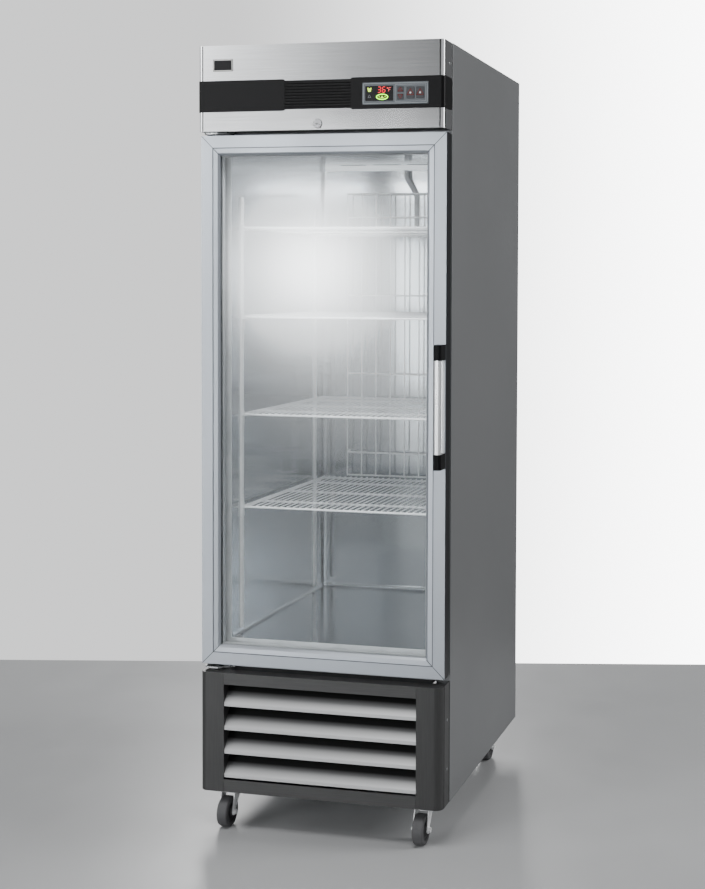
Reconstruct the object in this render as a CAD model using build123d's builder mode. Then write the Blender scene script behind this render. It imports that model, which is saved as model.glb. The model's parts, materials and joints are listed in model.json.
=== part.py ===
from build123d import *

import os

os.makedirs("parts", exist_ok=True)

# A one-door reach-in refrigerator on casters, with its condensing unit behind the grille at the foot
# and its evaporator over the shelves. X runs left to right, Y from front to back and Z up from the floor.

# ---- Driving dimensions ----
half_w = 340.0  # half the cabinet's width
total_h = 2096.0  # top of the cabinet
base_z = 104.0  # underside of the cabinet, over the casters
back_y = 431.0  # rear of the cabinet
face_y = -329.0  # front edge of the side panels
door_y = -385.0  # face of the door
header_y = -403.0  # face of the header and of the grille cover
handle_y = -431.0  # front of the door handle
skin = 1.2  # outer steel sheet
inside = half_w - skin  # inner face of the side panels
return_w = 34.0  # how far the side panels fold in at the front and back

door_bottom = 444.0
door_top = 1861.5
header_bottom = 1871.0
grille_top = 426.0
deck_z = 442.0  # underside of the insulated box, over the machine compartment

liner_half = 278.0  # half the storage space's width
liner_back = 361.0  # rear wall of the storage space
floor_z = 505.0  # storage floor
mouth_top = 1838.0  # top of the door opening
ceiling_z = 2031.0  # top of the evaporator space
lintel_y = -278.0  # inner face of the wall over the door opening
liner_t = 1.0

hinge_x = -322.0
hinge_y = -365.0
hinge_pin_r = 5.0
running_gap = 0.05  # radial clearance of a pin in its bush


def block(x, y, z, mode=Mode.ADD):
    """A box between two corners, each direction given as (low, high)."""
    with Locations(((x[0] + x[1]) / 2, (y[0] + y[1]) / 2, (z[0] + z[1]) / 2)):
        Box(x[1] - x[0], y[1] - y[0], z[1] - z[0], mode=mode)


def upright(x, y, z, radius, mode=Mode.ADD):
    """A vertical cylinder at (x, y), z given as (low, high)."""
    with Locations((x, y, (z[0] + z[1]) / 2)):
        Cylinder(radius, z[1] - z[0], mode=mode)


def front_to_back(x, y, z, radius, mode=Mode.ADD):
    """A cylinder along Y at (x, z), y given as (low, high)."""
    with Locations((x, (y[0] + y[1]) / 2, z)):
        Cylinder(radius, y[1] - y[0], rotation=(90, 0, 0), mode=mode)


# ---- Outer cabinet ----
for name, side in (("side_panel_left", -1), ("side_panel_right", 1)):
    with BuildPart() as side_panel:
        with BuildSketch(Plane.XY.offset(base_z)):
            with BuildLine():
                Polyline(
                    (side * half_w, face_y),
                    (side * half_w, back_y),
                    (side * (half_w - return_w), back_y),
                    (side * (half_w - return_w), back_y - skin),
                    (side * inside, back_y - skin),
                    (side * inside, face_y + skin),
                    (side * (half_w - return_w), face_y + skin),
                    (side * (half_w - return_w), face_y),
                    close=True,
                )
            make_face()
        extrude(amount=total_h - skin - base_z)
        folds = side_panel.edges().filter_by(Axis.Z).sort_by(lambda e: abs(e.center().X))[-2:]
        fillet(folds, radius=1.0)
    side_panel.part.label = name
    export_step(side_panel.part, f"parts/{name}.step")

# The top sheet folds down over the front, behind the header, to the door opening's trim.
trim_top = 1860.0
with BuildPart() as top_panel:
    block((-half_w, half_w), (face_y, back_y), (total_h - skin, total_h))
    block((return_w - half_w, half_w - return_w), (face_y, face_y + skin), (trim_top, total_h - skin))
top_panel.part.label = "top_panel"
export_step(top_panel.part, "parts/top_panel.step")

# The rear sheet, with rows of air slots over the machine compartment.
vent_pitch = 22.0
with BuildPart() as back_panel:
    with BuildSketch(Plane.XZ.offset(-back_y)):
        with Locations((0, (base_z + total_h - skin) / 2)):
            Rectangle(2 * (half_w - return_w), total_h - skin - base_z)
        with Locations((0, (base_z + deck_z) / 2)):
            with GridLocations(190, vent_pitch, 3, 12):
                SlotOverall(160, 9, mode=Mode.SUBTRACT)
    extrude(amount=skin)
back_panel.part.label = "back_panel"
export_step(back_panel.part, "parts/back_panel.step")

# The base runs forward under the grille cover, to the cover's lower flange.
pan_t = 2.0
flange_w = 40.0
with BuildPart() as base_pan:
    block((-inside, inside), (face_y + skin, back_y - skin), (base_z, base_z + pan_t))
    front_part = (header_y + flange_w + 0.1, face_y + skin)
    block((return_w - half_w, half_w - return_w), front_part, (base_z, base_z + pan_t))
base_pan.part.label = "base_pan"
export_step(base_pan.part, "parts/base_pan.step")

# The rail across the front, under the door.
sill_t = 5.0
with BuildPart() as sill_rail:
    block((-half_w + 1, half_w - 1), (face_y - sill_t, face_y), (427, 441))
    block((return_w - half_w, half_w - return_w), (face_y, face_y + skin), (427, 483))
sill_rail.part.label = "sill_rail"
export_step(sill_rail.part, "parts/sill_rail.step")

with BuildPart() as foam_insulation:
    block((-inside, inside), (face_y + skin, back_y - skin), (deck_z, total_h - skin))
    liner_out = liner_half + liner_t
    block(
        (-liner_out, liner_out),
        (lintel_y - liner_t, liner_back + liner_t),
        (floor_z - liner_t, ceiling_z + liner_t),
        mode=Mode.SUBTRACT,
    )
    block(
        (-liner_out, liner_out),
        (face_y, lintel_y),
        (floor_z - liner_t, mouth_top + liner_t),
        mode=Mode.SUBTRACT,
    )
foam_insulation.part.label = "foam_insulation"
export_step(foam_insulation.part, "parts/foam_insulation.step")

# The stainless inner box: coved where its floor and walls meet.
cove_r = 12.0
with BuildPart() as interior_liner:
    block(
        (-liner_out, liner_out),
        (lintel_y - liner_t, liner_back + liner_t),
        (floor_z - liner_t, ceiling_z + liner_t),
    )
    block(
        (-liner_out, liner_out),
        (face_y + skin, lintel_y),
        (floor_z - liner_t, mouth_top + liner_t),
    )
    block(
        (-liner_half, liner_half),
        (lintel_y, liner_back),
        (floor_z, ceiling_z),
        mode=Mode.SUBTRACT,
    )
    block(
        (-liner_half, liner_half),
        (face_y, lintel_y),
        (floor_z, mouth_top),
        mode=Mode.SUBTRACT,
    )
    inner = interior_liner.edges().filter_by(
        lambda e: abs(e.center().X) < liner_half + 0.1 and e.center().Y < liner_back + 0.1
    )
    along_floor = inner.filter_by(lambda e: abs(e.center().Z - floor_z) < 0.1)
    coves = along_floor.filter_by(lambda e: e.length > 100 and e.center().Y > face_y + 20)
    rear_corners = inner.filter_by(Axis.Z).filter_by(lambda e: abs(e.center().Y - liner_back) < 0.1)
    fillet(coves + rear_corners, radius=cove_r)
interior_liner.part.label = "interior_liner"
export_step(interior_liner.part, "parts/interior_liner.step")

# The plastic trim between the liner's edge and the outer skin.
breaker_t = 3.0  # how far it stands proud of the skin
breaker_w = 27.0
with BuildPart() as breaker_frame:
    with BuildSketch(Plane.XZ.offset(-face_y + breaker_t)):
        mouth_mid = (floor_z + mouth_top) / 2
        mouth_h = mouth_top - floor_z
        with Locations((0, mouth_mid)):
            Rectangle(2 * (liner_half + breaker_w), mouth_h + 2 * (trim_top - mouth_top))
            Rectangle(2 * liner_half, mouth_h, mode=Mode.SUBTRACT)
    extrude(amount=-breaker_t - skin)
breaker_frame.part.label = "breaker_frame"
export_step(breaker_frame.part, "parts/breaker_frame.step")

# ---- Header over the door ----
hood_half = 338.0
hood_t = 1.5
hood_bend = 8.0
band_t = 2.0
band_z = (1921.5, 2003.5)
bezel_x = (119.0, 297.0)
bezel_z = (1932.0, 1989.0)
lock_x = -4.0
lock_z = 1886.0
lock_barrel_r = 9.5


def bent_sheet(half, front, back, thickness, bend, z, height):
    """A sheet bent to a U in plan: a face across the front and a return down each side."""
    for inset, mode in ((0, Mode.ADD), (thickness, Mode.SUBTRACT)):
        with BuildSketch(Plane.XY.offset(z)) as outline:
            with Locations((0, (front + inset + back) / 2)):
                Rectangle(2 * (half - inset), back - front - inset)
            fillet(outline.vertices().group_by(Axis.Y)[0], radius=bend - inset)
        extrude(outline.sketch, amount=height, mode=mode)


with BuildPart() as header_hood:
    hood_h = total_h - header_bottom
    bent_sheet(hood_half, header_y, face_y, hood_t, hood_bend, header_bottom, hood_h)
    with BuildSketch(Plane.XY.offset(total_h - hood_t)) as lid:
        with Locations((0, (header_y + face_y) / 2)):
            Rectangle(2 * hood_half, face_y - header_y)
        fillet(lid.vertices().group_by(Axis.Y)[0], radius=hood_bend)
    extrude(amount=hood_t)
    lower_lip = hood_half - hood_bend - 1
    block((-lower_lip, lower_lip), (header_y, header_y + 12), (header_bottom, header_bottom + hood_t))
    block(
        (bezel_x[0] + 4, bezel_x[1] - 4),
        (header_y, header_y + hood_t),
        (bezel_z[0] + 4, bezel_z[1] - 4),
        mode=Mode.SUBTRACT,
    )
    front_to_back(lock_x, (header_y, header_y + hood_t), lock_z, lock_barrel_r, mode=Mode.SUBTRACT)
header_hood.part.label = "header_hood"
export_step(header_hood.part, "parts/header_hood.step")

# The black band wraps both corners of the hood. Its middle is lower, let in and ribbed.
ribs_x = (-94.5, 87.0)
rib_count = 9
rib_pitch = 7.6
ribs_floor = header_y - 0.4  # face of the sheet between the ribs
waist = 3.5  # how much lower the ribbed part is at its top and bottom
with BuildPart() as header_band:
    band_h = band_z[1] - band_z[0]
    band_mid = (band_z[0] + band_z[1]) / 2
    band_front = header_y - band_t
    bent_sheet(hood_half + band_t, band_front, face_y - 4, band_t, hood_bend + band_t, band_z[0], band_h)
    ends = header_band.edges().filter_by(Axis.X).group_by(Axis.Y)[-1]
    fillet(ends, radius=14)
    with BuildSketch(Plane.XZ.offset(-header_y)):
        for edge, inward in ((band_z[0], 1), (band_z[1], -1)):
            Polygon(
                (ribs_x[0] - waist, edge - inward),
                (ribs_x[0] - waist, edge),
                (ribs_x[0], edge + inward * waist),
                (ribs_x[1], edge + inward * waist),
                (ribs_x[1] + waist, edge),
                (ribs_x[1] + waist, edge - inward),
                align=None,
            )
    extrude(amount=band_t, mode=Mode.SUBTRACT)
    block(ribs_x, (band_front, ribs_floor), band_z, mode=Mode.SUBTRACT)
    with BuildSketch(Plane.YZ.offset(ribs_x[0])):
        with Locations((ribs_floor, band_mid)):
            with GridLocations(1, rib_pitch, 1, rib_count):
                Ellipse(1.4, 2.7)
    extrude(amount=ribs_x[1] - ribs_x[0])
    block(ribs_x, (header_y, header_y + band_t), band_z, mode=Mode.SUBTRACT)
    block(bezel_x, (header_y - 10, header_y), bezel_z, mode=Mode.SUBTRACT)
header_band.part.label = "header_band"
export_step(header_band.part, "parts/header_band.step")

# ---- Controls ----
bezel_front = header_y - 3.0
window_x = (127.0, 203.0)
window_z = (1941.0, 1980.0)
key_gap = 0.3
# Each key: name, centre, width and height.
keys = (
    ("key_up", (222.0, 1970.0), 18.0, 15.0),
    ("key_down", (222.0, 1951.0), 18.0, 15.0),
    ("key_defrost", (249.0, 1961.0), 22.0, 30.0),
    ("key_alarm", (275.0, 1961.0), 22.0, 30.0),
)
with BuildPart() as control_bezel:
    block(bezel_x, (bezel_front, header_y), bezel_z)
    fillet(control_bezel.edges().filter_by(Axis.Y), radius=4)
    chamfer(control_bezel.faces().sort_by(Axis.Y)[0].edges(), length=0.6)
    block(window_x, (bezel_front - 1, header_y + 1), window_z, mode=Mode.SUBTRACT)
    for name, centre, width, height in keys:
        with BuildSketch(Plane.XZ.offset(-header_y)):
            with Locations(centre):
                RectangleRounded(width + 2 * key_gap, height + 2 * key_gap, 2.5)
        extrude(amount=-5, both=True, mode=Mode.SUBTRACT)
control_bezel.part.label = "control_bezel"
export_step(control_bezel.part, "parts/control_bezel.step")

with BuildPart() as display_window:
    block(window_x, (bezel_front + 0.6, header_y + 0.4), window_z)
display_window.part.label = "display_window"
export_step(display_window.part, "parts/display_window.step")

key_proud = 0.9
key_clear = 1.0  # room behind each key for its travel
for name, centre, width, height in keys:
    with BuildPart() as key:
        with BuildSketch(Plane.XZ.offset(key_clear - header_y)):
            with Locations(centre):
                RectangleRounded(width, height, 2.2)
        extrude(amount=header_y - key_clear - bezel_front + key_proud)
        chamfer(key.faces().sort_by(Axis.Y)[0].edges(), length=0.3)
    key.part.label = name
    export_step(key.part, f"parts/{name}.step")

# A blank plate, fixed to the hood's upper left.
with BuildPart() as badge_plate:
    block((-297, -241), (header_y - 1.2, header_y), (2028, 2060))
    fillet(badge_plate.edges().filter_by(Axis.Y), radius=2)
    block((-294.5, -243.5), (header_y - 1.2, header_y - 0.8), (2030.5, 2057.5), mode=Mode.SUBTRACT)
badge_plate.part.label = "badge_plate"
export_step(badge_plate.part, "parts/badge_plate.step")

# ---- Door lock ----
plug_r = 6.5
barrel_end = header_y + 27
with BuildPart() as lock_body:
    front_to_back(lock_x, (header_y - 3, header_y), lock_z, 12.5)
    chamfer(lock_body.faces().sort_by(Axis.Y)[0].edges(), length=1.0)
    front_to_back(lock_x, (header_y, barrel_end), lock_z, lock_barrel_r)
    front_to_back(lock_x, (header_y + hood_t, header_y + 6), lock_z, 13)
    front_to_back(lock_x, (header_y - 4, barrel_end + 1), lock_z, plug_r + running_gap, mode=Mode.SUBTRACT)
lock_body.part.label = "lock_body"
export_step(lock_body.part, "parts/lock_body.step")

# The plug turns with the key. Its cam points sideways when open and drops into the door when locked.
cam_y = (barrel_end + 0.5, barrel_end + 3.5)
cam_reach = 28.0
with BuildPart() as lock_plug:
    front_to_back(lock_x, (header_y - 3.5, cam_y[1]), lock_z, plug_r)
    keyway = (header_y - 3.5, header_y + 6)
    block((lock_x - 4.5, lock_x + 4.5), keyway, (lock_z - 1, lock_z + 1), mode=Mode.SUBTRACT)
    block((lock_x, lock_x + cam_reach), cam_y, (lock_z - 4, lock_z + 4))
    front_to_back(lock_x, cam_y, lock_z, 9)
lock_plug.part.label = "lock_plug"
export_step(lock_plug.part, "parts/lock_plug.step")

# ---- Grille cover at the foot ----
cover_half = 339.0
cover_t = 1.5
cover_bend = 22.0
louvre_half = 269.0
louvre_z = (138.0, 395.0)
cheek_depth = 45.0
seam_w = 0.8
cover_h = grille_top - base_z
with BuildPart() as grille_cover:
    bent_sheet(cover_half, header_y, face_y - 1, cover_t, cover_bend, base_z, cover_h)
    for level in (base_z, grille_top - cover_t):
        with BuildSketch(Plane.XY.offset(level)) as flange:
            with Locations((0, header_y + flange_w / 2)):
                Rectangle(2 * cover_half, flange_w)
            fillet(flange.vertices().group_by(Axis.Y)[0], radius=cover_bend)
        extrude(amount=cover_t)
    block((-louvre_half, louvre_half), (header_y, header_y + cover_t), louvre_z, mode=Mode.SUBTRACT)
    for side in (-1, 1):
        cheek = sorted((side * louvre_half, side * (louvre_half + cover_t)))
        block(cheek, (header_y + cover_t / 2, header_y + cheek_depth), louvre_z)
        # The seams between the corner posts and the rails over and under the slats.
        seam = (side * louvre_half - seam_w / 2, side * louvre_half + seam_w / 2)
        for z in ((base_z, louvre_z[0]), (louvre_z[1], grille_top)):
            block(seam, (header_y, header_y + seam_w), z, mode=Mode.SUBTRACT)
grille_cover.part.label = "grille_cover"
export_step(grille_cover.part, "parts/grille_cover.step")

# Each slat slopes down and forward and ends in an upright lip.
slat_count = 4
slat_pitch = (louvre_z[1] - louvre_z[0]) / slat_count
slat_t = 1.2
slat_drop = 46.0
slat_lip = 9.0
with BuildPart() as grille_slats:
    for i in range(slat_count):
        top = louvre_z[1] - i * slat_pitch - 4
        lip_top = top - slat_drop
        lip_y = header_y + 2.5
        rear_y = header_y + cheek_depth - 3
        with BuildSketch(Plane.YZ.offset(-louvre_half + 0.3)):
            with BuildLine():
                Polyline(
                    (rear_y, top),
                    (lip_y, lip_top),
                    (lip_y, lip_top - slat_lip),
                    (lip_y + slat_t, lip_top - slat_lip),
                    (lip_y + slat_t, lip_top - slat_t / 2),
                    (rear_y + slat_t / 2, top - slat_t),
                    close=True,
                )
            make_face()
        extrude(amount=2 * (louvre_half - 0.3))
grille_slats.part.label = "grille_slats"
export_step(grille_slats.part, "parts/grille_slats.step")

# Pan-head screws: two on each side of the grille cover, one on each side of the hood.
screw_y = (header_y + face_y) / 2 + 12
with BuildPart() as panel_screws:
    for side in (-1, 1):
        for z, x in ((200.0, cover_half), (330.0, cover_half), (2040.0, hood_half)):
            with Locations((side * (x + 0.45), screw_y, z)):
                Cylinder(3.6, 0.9, rotation=(0, 90, 0))
panel_screws.part.label = "panel_screws"
export_step(panel_screws.part, "parts/panel_screws.step")

# ---- Hinge brackets on the cabinet ----
bracket_x = (-336.0, -268.0)
lower_plate = (432.0, 436.0)
upper_plate = (1866.0, 1870.0)
pin_in_door = 30.0
with BuildPart() as hinge_brackets:
    for plate, tab, pin in (
        (lower_plate, (385.0, 432.0), (lower_plate[1], door_bottom + pin_in_door)),
        (upper_plate, (1870.0, 1915.0), (door_top - pin_in_door, upper_plate[0])),
    ):
        with BuildSketch(Plane.XY.offset(plate[0])):
            with BuildLine():
                Polyline(
                    (bracket_x[0], face_y - 5.5),
                    (bracket_x[0], hinge_y - 8),
                    (bracket_x[0] + 10, hinge_y - 20),
                    (bracket_x[1] - 26, hinge_y - 20),
                    (bracket_x[1], hinge_y),
                    (bracket_x[1], face_y - 5.5),
                    close=True,
                )
            make_face()
        extrude(amount=plate[1] - plate[0])
        block(bracket_x, (face_y - 9.5, face_y - 5.5), tab)
        upright(hinge_x, hinge_y, pin, hinge_pin_r)
hinge_brackets.part.label = "hinge_brackets"
export_step(hinge_brackets.part, "parts/hinge_brackets.step")

# ---- Door ----
frame_w = 52.0  # width of the frame's face
flat_w = 32.0  # flat outer part of that face
frame_t = 40.0  # thickness of the door
pocket = 12.0  # how deep the glass stands in the frame
bush_r = 8.0
bush_depth = 36.0
# Across a frame member: distance in from the outer edge, depth back from the face.
member_outline = (
    (0, 0),
    (flat_w, 0),
    (flat_w, 2),
    (flat_w + 1.2, 2),
    (flat_w + 1.2, 0.8),
    (frame_w - 6, 1.5),
    (frame_w, 6),
    (frame_w, 9.8),
    (frame_w - pocket, 9.8),
    (frame_w - pocket, 34.2),
    (frame_w, 34.2),
    (frame_w, frame_t),
    (0, frame_t),
)
member_core = ((2.5, 3.5), (37.5, 3.5), (37.5, 37.5), (2.5, 37.5))


def member(place):
    """The hollow section of a frame member, each point placed by the given function."""
    Polygon(*[place(u, v) for u, v in member_outline], align=None)
    Polygon(*[place(u, v) for u, v in member_core], align=None, mode=Mode.SUBTRACT)


door_inner = half_w - frame_w
with BuildPart() as door_stiles:
    for side in (-1, 1):
        with BuildSketch(Plane.XY.offset(door_bottom)):
            member(lambda u, v: (side * (half_w - u), door_y + v))
        extrude(amount=door_top - door_bottom)
    with BuildSketch(Plane.XZ.offset(-door_y)):
        for side in (-1, 1):
            Polygon(
                (side * half_w, door_bottom),
                (side * half_w, door_top),
                (side * door_inner, door_top - frame_w),
                (side * door_inner, door_bottom + frame_w),
                align=None,
            )
    extrude(amount=-frame_t, mode=Mode.INTERSECT)
    for z in ((door_bottom, door_bottom + bush_depth), (door_top - bush_depth, door_top)):
        upright(hinge_x, hinge_y, z, bush_r, mode=Mode.SUBTRACT)
door_stiles.part.label = "door_stiles"
export_step(door_stiles.part, "parts/door_stiles.step")

with BuildPart() as door_rails:
    for edge, inward in ((door_bottom, 1), (door_top, -1)):
        with BuildSketch(Plane.YZ.offset(-half_w)):
            member(lambda u, v: (door_y + v, edge + inward * u))
        extrude(amount=2 * half_w)
    with BuildSketch(Plane.XZ.offset(-door_y)):
        for edge, inward in ((door_bottom, 1), (door_top, -1)):
            Polygon(
                (-half_w, edge),
                (half_w, edge),
                (door_inner, edge + inward * frame_w),
                (-door_inner, edge + inward * frame_w),
                align=None,
            )
    extrude(amount=-frame_t, mode=Mode.INTERSECT)
    for z in ((door_bottom, door_bottom + bush_depth), (door_top - bush_depth, door_top)):
        upright(hinge_x, hinge_y, z, bush_r, mode=Mode.SUBTRACT)
    # The slot that the lock's cam drops into.
    cam_slot = (cam_y[0] - 2.5, cam_y[1] + 2.5)
    block((lock_x - 8, lock_x + 22), cam_slot, (door_top - 6, door_top), mode=Mode.SUBTRACT)
door_rails.part.label = "door_rails"
export_step(door_rails.part, "parts/door_rails.step")

# Two panes, held apart by a spacer, standing in the frame's pocket.
pane_half = door_inner + pocket - 0.5
pane_z = (door_bottom + frame_w - pocket + 0.5, door_top - frame_w + pocket - 0.5)
pane_t = 4.0
pane_outer = (door_y + 10, door_y + 10 + pane_t)
pane_inner = (door_y + 34 - pane_t, door_y + 34)
with BuildPart() as glass_panes:
    block((-pane_half, pane_half), pane_outer, pane_z)
    block((-pane_half, pane_half), pane_inner, pane_z)
glass_panes.part.label = "glass_panes"
export_step(glass_panes.part, "parts/glass_panes.step")

spacer_w = 15.0
with BuildPart() as glass_spacer:
    block((-pane_half, pane_half), (pane_outer[1], pane_inner[0]), pane_z)
    block(
        (-pane_half + spacer_w, pane_half - spacer_w),
        (pane_outer[1], pane_inner[0]),
        (pane_z[0] + spacer_w, pane_z[1] - spacer_w),
        mode=Mode.SUBTRACT,
    )
glass_spacer.part.label = "glass_spacer"
export_step(glass_spacer.part, "parts/glass_spacer.step")

# The magnetic gasket: a flat foot against the door and a softer bulb towards the cabinet.
gasket_half = 316.0
gasket_z = (466.0, 1856.0)
gasket_end = face_y - breaker_t - 0.3
with BuildPart() as door_gasket:
    foot = (door_y + frame_t, door_y + frame_t + 3)
    for width, start, end in ((20, *foot), (14, foot[1], gasket_end)):
        with BuildSketch(Plane.XZ.offset(-end)):
            with Locations((0, (gasket_z[0] + gasket_z[1]) / 2)):
                RectangleRounded(2 * gasket_half, gasket_z[1] - gasket_z[0], 6)
                Rectangle(
                    2 * (gasket_half - width),
                    gasket_z[1] - gasket_z[0] - 2 * width,
                    mode=Mode.SUBTRACT,
                )
        extrude(amount=end - start)
door_gasket.part.label = "door_gasket"
export_step(door_gasket.part, "parts/door_gasket.step")

with BuildPart() as hinge_bushes:
    bush_hole = hinge_pin_r + running_gap
    for body, flange in (
        ((door_bottom, door_bottom + bush_depth), (lower_plate[1] + 0.3, door_bottom)),
        ((door_top - bush_depth, door_top), (door_top, upper_plate[0] - 0.3)),
    ):
        upright(hinge_x, hinge_y, body, bush_r)
        upright(hinge_x, hinge_y, flange, 11)
        whole = (min(body[0], flange[0]), max(body[1], flange[1]))
        upright(hinge_x, hinge_y, whole, bush_hole, mode=Mode.SUBTRACT)
hinge_bushes.part.label = "hinge_bushes"
export_step(hinge_bushes.part, "parts/hinge_bushes.step")

# ---- Door handle ----
cap_h = 40.0
cap_w = 21.0
handle_x = half_w - cap_w / 2
handle_z = (995.0, 1316.0)
grip_w = 18.0
grip_t = 17.0
with BuildPart() as handle_bar:
    grip_z = (handle_z[0] + cap_h, handle_z[1] - cap_h)
    with BuildSketch(Plane.XY.offset(grip_z[0])):
        with Locations((handle_x, handle_y + 1 + grip_t / 2)):
            RectangleRounded(grip_w, grip_t, 6)
    extrude(amount=grip_z[1] - grip_z[0])
    block((handle_x - grip_w / 2, handle_x + grip_w / 2), (door_y - 3, door_y), grip_z)
handle_bar.part.label = "handle_bar"
export_step(handle_bar.part, "parts/handle_bar.step")

with BuildPart() as handle_caps:
    for z in ((handle_z[0], handle_z[0] + cap_h), (handle_z[1] - cap_h, handle_z[1])):
        block((handle_x - cap_w / 2, handle_x + cap_w / 2), (handle_y, door_y), z)
    fillet(handle_caps.edges().filter_by(Axis.Z).group_by(Axis.Y)[0], radius=6)
    # Upright flutes down the front of both caps.
    for flute in (-4.0, 0.0, 4.0):
        block(
            (handle_x + flute - 0.7, handle_x + flute + 0.7),
            (handle_y, handle_y + 0.8),
            handle_z,
            mode=Mode.SUBTRACT,
        )
handle_caps.part.label = "handle_caps"
export_step(handle_caps.part, "parts/handle_caps.step")

# ---- Storage space ----
standard_w = 16.0
standard_t = 4.0
standard_z = (518.0, 1705.0)
standard_rows = (-265.5, 283.0)
slot_pitch = 12.7
shelf_slots = (60, 41, 20, 0)
shelf_low = 861.0
shelf_half = 263.0
shelf_y = (-288.0, 324.0)
edge_r = 3.0
wire_r = 1.6
shelf_tops = [shelf_low + n * slot_pitch for n in shelf_slots]
bar_z = -wire_r - edge_r + 0.4  # centre of the cross bars under the wires' centre line

# Slotted strips up the side walls, and the clips that the shelves stand on.
clip_w = 13.0
with BuildPart() as shelf_standards:
    for side in (-1, 1):
        wall = side * liner_half
        with BuildSketch(Plane.YZ.offset(wall)):
            for y in standard_rows:
                with Locations((y, (standard_z[0] + standard_z[1]) / 2)):
                    Rectangle(standard_w, standard_z[1] - standard_z[0])
                    with GridLocations(1, slot_pitch, 1, 92):
                        Rectangle(5, 6.5, mode=Mode.SUBTRACT)
        extrude(amount=-side * standard_t)
        for y in standard_rows:
            for top in shelf_tops:
                seat = top + bar_z - edge_r - 0.1
                reach = sorted((side * (shelf_half - 5), wall - side * standard_t))
                block(reach, (y - clip_w / 2, y + clip_w / 2), (seat - 2.5, seat))
                web = sorted((wall - side * (standard_t + 2.5), wall - side * standard_t))
                block(web, (y - clip_w / 2, y + clip_w / 2), (seat - 26, seat + 12))
shelf_standards.part.label = "shelf_standards"
export_step(shelf_standards.part, "parts/shelf_standards.step")

wire_count = 30
for number, top in enumerate(shelf_tops, start=1):
    name = f"shelf_{number}"
    with BuildPart() as shelf:
        with BuildSketch(Plane.XZ.offset(-shelf_y[1])):
            with Locations((0, top)):
                with GridLocations(2 * (shelf_half - edge_r) / (wire_count - 1), 1, wire_count, 1):
                    Circle(wire_r)
        extrude(amount=shelf_y[1] - shelf_y[0])
        with BuildSketch(Plane.YZ.offset(-shelf_half)):
            for y in (shelf_y[0] + edge_r, -176.0, 18.0, 212.0, shelf_y[1] - edge_r):
                with Locations((y, top + bar_z)):
                    Circle(edge_r)
        extrude(amount=2 * shelf_half)
        with BuildSketch(Plane.XZ.offset(-shelf_y[1])):
            for side in (-1, 1):
                with Locations((side * (shelf_half - edge_r), top + bar_z)):
                    Circle(edge_r)
        extrude(amount=shelf_y[1] - shelf_y[0])
    shelf.part.label = name
    export_step(shelf.part, f"parts/{name}.step")

# The guard keeps food off the rear wall, where the cold air comes down.
guard_y = 336.0
guard_pitch = 47.0
guard_half = 4 * guard_pitch
guard_z = (864.0, 1753.0)
with BuildPart() as wire_guard:
    with BuildSketch(Plane.XY.offset(guard_z[0])):
        with Locations((0, guard_y)):
            with GridLocations(guard_pitch, 1, 9, 1):
                Circle(2)
    extrude(amount=guard_z[1] - guard_z[0])
    with BuildSketch(Plane.YZ.offset(-guard_half - 2)):
        for z in (guard_z[0] + 2.5, 938.0, 1187.0, 1433.0, 1677.0, guard_z[1] - 2.5):
            with Locations((guard_y + 4, z)):
                Circle(2.5)
    extrude(amount=2 * guard_half + 4)
    for x in (-guard_half, guard_half):
        for z in (938.0, 1677.0):
            front_to_back(x, (guard_y + 3, liner_back), z + 4, 2.5)
wire_guard.part.label = "wire_guard"
export_step(wire_guard.part, "parts/wire_guard.step")

# ---- Evaporator, over the storage space ----
evap_fan_y = -90.0
evap_fan_hole = 95.0
cover_z = (mouth_top + 1, mouth_top + 2.2)
with BuildPart() as evaporator_cover:
    with BuildSketch(Plane.XY.offset(cover_z[0])) as ceiling:
        with Locations((0, (lintel_y + liner_back) / 2)):
            Rectangle(2 * liner_half - 1, liner_back - lintel_y - 1)
        fillet(ceiling.vertices().group_by(Axis.Y)[-1], radius=cove_r + 1)
        with Locations((0, evap_fan_y)):
            Circle(evap_fan_hole, mode=Mode.SUBTRACT)
            for ring in (84, 58, 32):
                Circle(ring + 1.5)
                Circle(ring - 1.5, mode=Mode.SUBTRACT)
            with PolarLocations(0, 4):
                Rectangle(2 * evap_fan_hole + 2, 3)
        with Locations((0, 322)):
            with GridLocations(110, 1, 4, 1):
                SlotOverall(90, 26, mode=Mode.SUBTRACT)
    extrude(amount=cover_z[1] - cover_z[0])
evaporator_cover.part.label = "evaporator_cover"
export_step(evaporator_cover.part, "parts/evaporator_cover.step")

with BuildPart() as evaporator_coil:
    block((-235, 235), (70, 290), (1866, 1996))
    with Locations((0, 180, 1931)):
        with GridLocations(15, 1, 30, 1):
            Box(9, 196, 130, mode=Mode.SUBTRACT)
    for z in (1890, 1931, 1972):
        for y in (110, 180, 250):
            with Locations((0, y, z)):
                Cylinder(5, 500, rotation=(0, 90, 0))
evaporator_coil.part.label = "evaporator_coil"
export_step(evaporator_coil.part, "parts/evaporator_coil.step")

evap_hub = (1853.0, 1873.0)
fan_shaft_r = 4.0
with BuildPart() as evaporator_motor:
    upright(0, evap_fan_y, (1885, 1945), 38)
    upright(0, evap_fan_y, (1856, 1885), fan_shaft_r)
    block((-14, 14), (evap_fan_y - 14, evap_fan_y + 14), (1945, ceiling_z))
evaporator_motor.part.label = "evaporator_motor"
export_step(evaporator_motor.part, "parts/evaporator_motor.step")

blade_pitch = 27.0
with BuildPart() as evaporator_fan:
    upright(0, evap_fan_y, evap_hub, 24)
    with Locations((0, evap_fan_y, (evap_hub[0] + evap_hub[1]) / 2)):
        with PolarLocations(52, 5):
            Box(66, 46, 1.6, rotation=(blade_pitch, 0, 0))
    bore = (evap_hub[0] - 15, evap_hub[1] + 15)
    upright(0, evap_fan_y, bore, fan_shaft_r + running_gap, mode=Mode.SUBTRACT)
evaporator_fan.part.label = "evaporator_fan"
export_step(evaporator_fan.part, "parts/evaporator_fan.step")

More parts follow.
